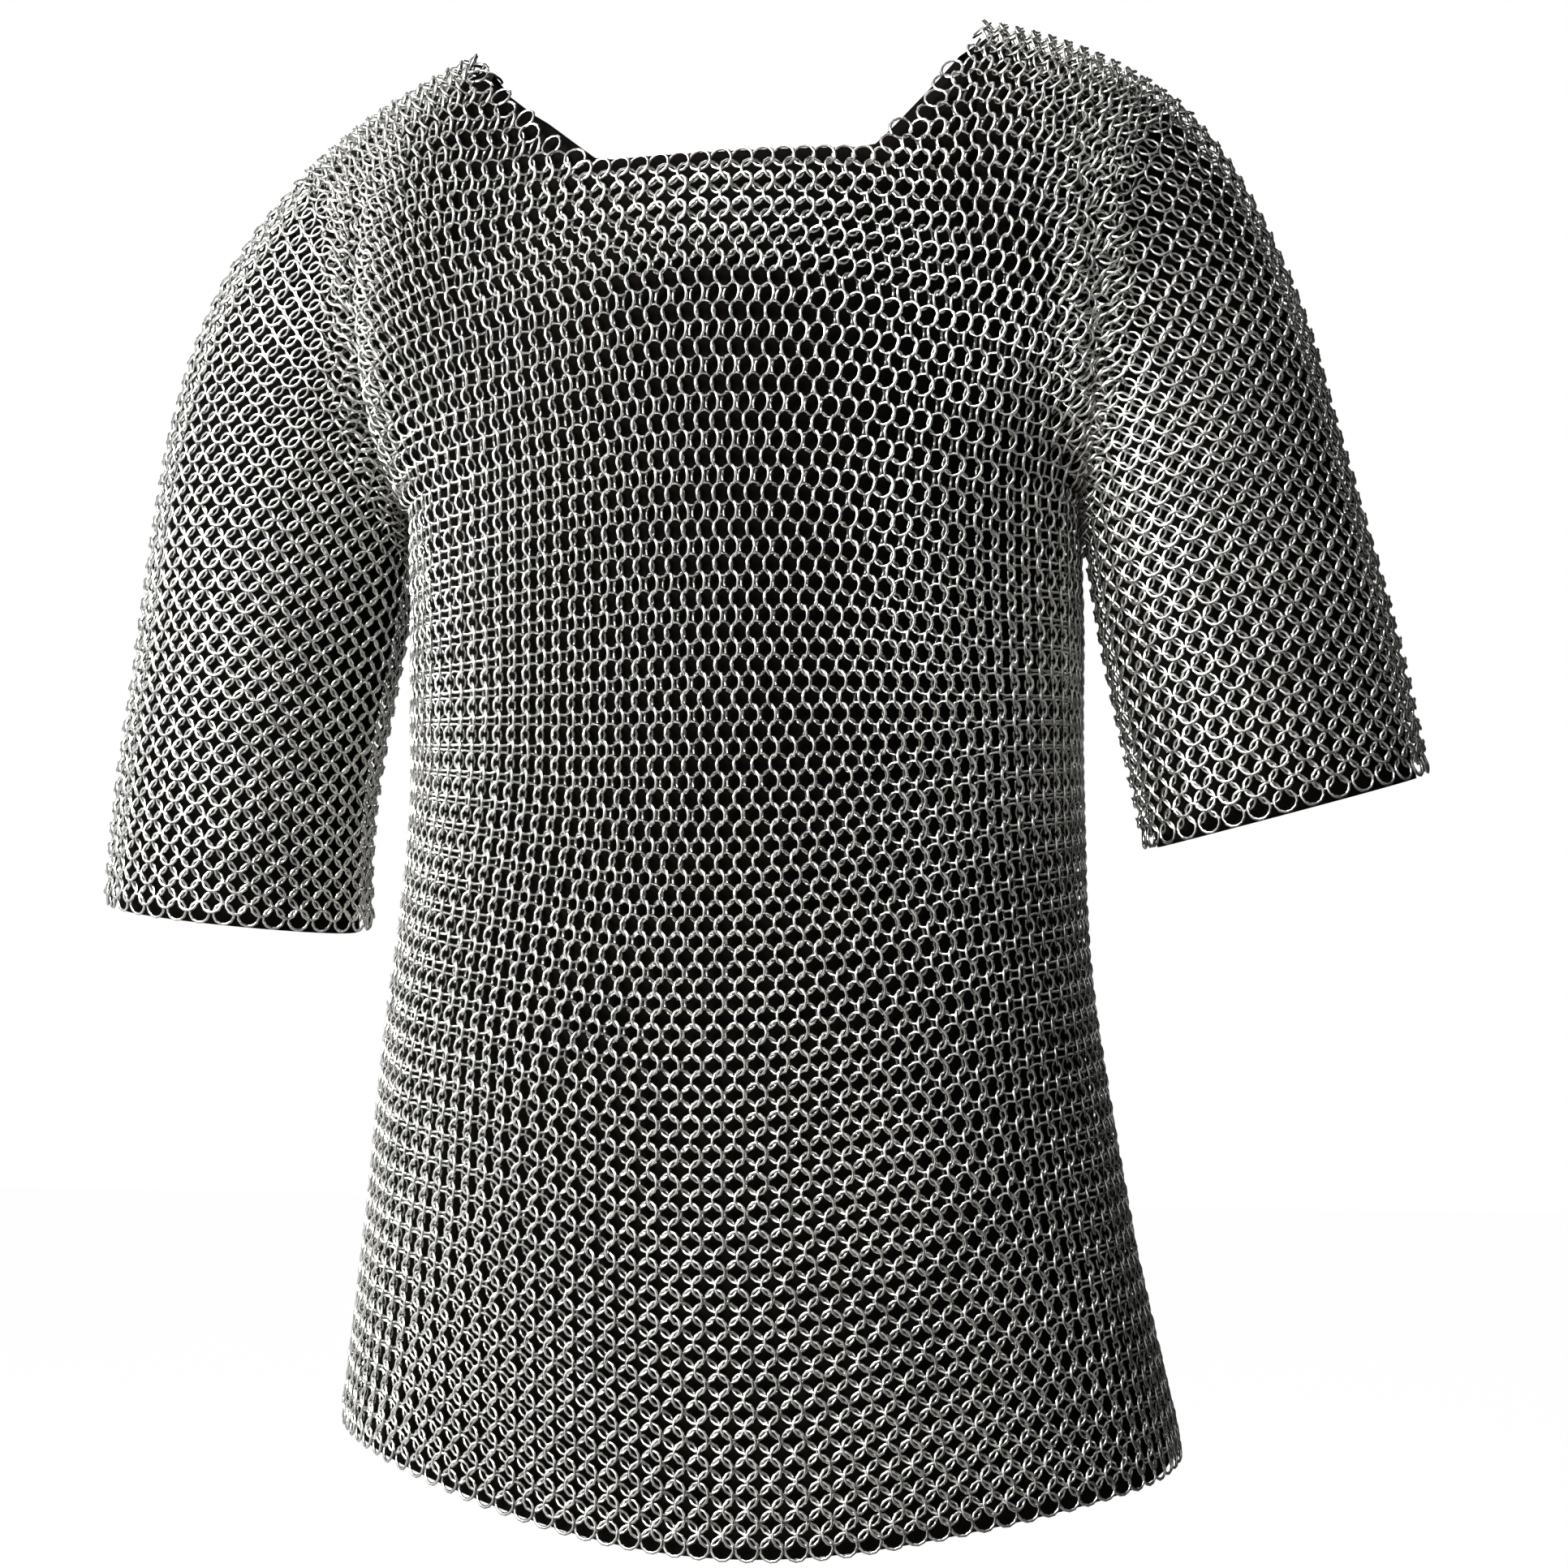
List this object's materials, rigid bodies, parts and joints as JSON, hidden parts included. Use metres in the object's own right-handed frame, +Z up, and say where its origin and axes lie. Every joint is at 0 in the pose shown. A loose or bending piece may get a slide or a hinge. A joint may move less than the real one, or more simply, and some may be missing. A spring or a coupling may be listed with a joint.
{
  "type": "chainmail shirt",
  "caption": "Short-sleeved butted mail shirt of linked steel rings over a black cloth lining, with a square neck opening, hanging from its shoulders",
  "frame": {"origin": "the middle of the neck opening, level with the two shoulder points beside the neck that the shirt hangs from", "axes": "+Z up, the front of the shirt faces -Y, the wearer's left arm is at +X"},
  "size_m": [0.7551, 0.3084, 0.8056],
  "materials": {
    "ring_steel": "bright zinc-plated steel wire rings, 16 gauge, butted",
    "edge_ring_steel": "the same bright rings, lying open and flat along each edge",
    "black_lining_cloth": "thin matt black woven cloth"
  },
  "bodies": {
    "torso": {"front_bib": "ring_steel", "back_bib": "ring_steel", "neck_edge_row_front": "edge_ring_steel", "neck_edge_row_back": "edge_ring_steel", "left_shoulder_strap": "ring_steel", "right_shoulder_strap": "ring_steel", "left_chest_panel": "ring_steel", "right_chest_panel": "ring_steel", "left_back_panel": "ring_steel", "right_back_panel": "ring_steel", "waist_front": "ring_steel", "waist_back": "ring_steel", "waist_left_side": "ring_steel", "waist_right_side": "ring_steel", "front_bib_lining": "black_lining_cloth", "back_bib_lining": "black_lining_cloth", "left_shoulder_lining": "black_lining_cloth", "right_shoulder_lining": "black_lining_cloth", "waist_lining": "black_lining_cloth", "hip_flex_band": "ring_steel", "hip_flex_lining": "black_lining_cloth"},
    "skirt": {"skirt_front": "ring_steel", "skirt_back": "ring_steel", "skirt_left_side": "ring_steel", "skirt_right_side": "ring_steel", "hem_edge_row": "edge_ring_steel", "skirt_lining": "black_lining_cloth"},
    "left_shoulder": {"left_shoulder_flex": "ring_steel", "left_shoulder_flex_lining": "black_lining_cloth"},
    "left_sleeve": {"left_upper_sleeve_outer": "ring_steel", "left_upper_sleeve_inner": "ring_steel", "left_lower_sleeve_outer": "ring_steel", "left_lower_sleeve_inner": "ring_steel", "left_cuff_edge_row": "edge_ring_steel", "left_sleeve_lining": "black_lining_cloth"},
    "right_shoulder": {"right_shoulder_flex": "ring_steel", "right_shoulder_flex_lining": "black_lining_cloth"},
    "right_sleeve": {"right_upper_sleeve_outer": "ring_steel", "right_upper_sleeve_inner": "ring_steel", "right_lower_sleeve_outer": "ring_steel", "right_lower_sleeve_inner": "ring_steel", "right_cuff_edge_row": "edge_ring_steel", "right_sleeve_lining": "black_lining_cloth"}
  },
  "joints": [
    {"name": "left_arm_swing", "type": "hinge", "parent": "torso", "child": "left_shoulder", "pos_m": [0.195, 0, -0.095], "axis": [1, 0, 0], "range_deg": [-45, 30], "deforming": ["left_shoulder_flex", "left_shoulder_flex_lining"]},
    {"name": "left_arm_raise", "type": "hinge", "parent": "left_shoulder", "child": "left_sleeve", "pos_m": [0.195, 0, -0.095], "axis": [0, -1, 0], "range_deg": [0, 45], "deforming": ["left_shoulder_flex", "left_shoulder_flex_lining"]},
    {"name": "right_arm_swing", "type": "hinge", "parent": "torso", "child": "right_shoulder", "pos_m": [-0.195, 0, -0.095], "axis": [1, 0, 0], "range_deg": [-45, 30], "deforming": ["right_shoulder_flex", "right_shoulder_flex_lining"]},
    {"name": "right_arm_raise", "type": "hinge", "parent": "right_shoulder", "child": "right_sleeve", "pos_m": [-0.195, 0, -0.095], "axis": [0, 1, 0], "range_deg": [0, 45], "deforming": ["right_shoulder_flex", "right_shoulder_flex_lining"]},
    {"name": "skirt_swing", "type": "hinge", "parent": "torso", "child": "skirt", "pos_m": [0, 0, -0.505], "axis": [1, 0, 0], "range_deg": [-12, 12], "deforming": ["hip_flex_band", "hip_flex_lining"]}
  ]
}
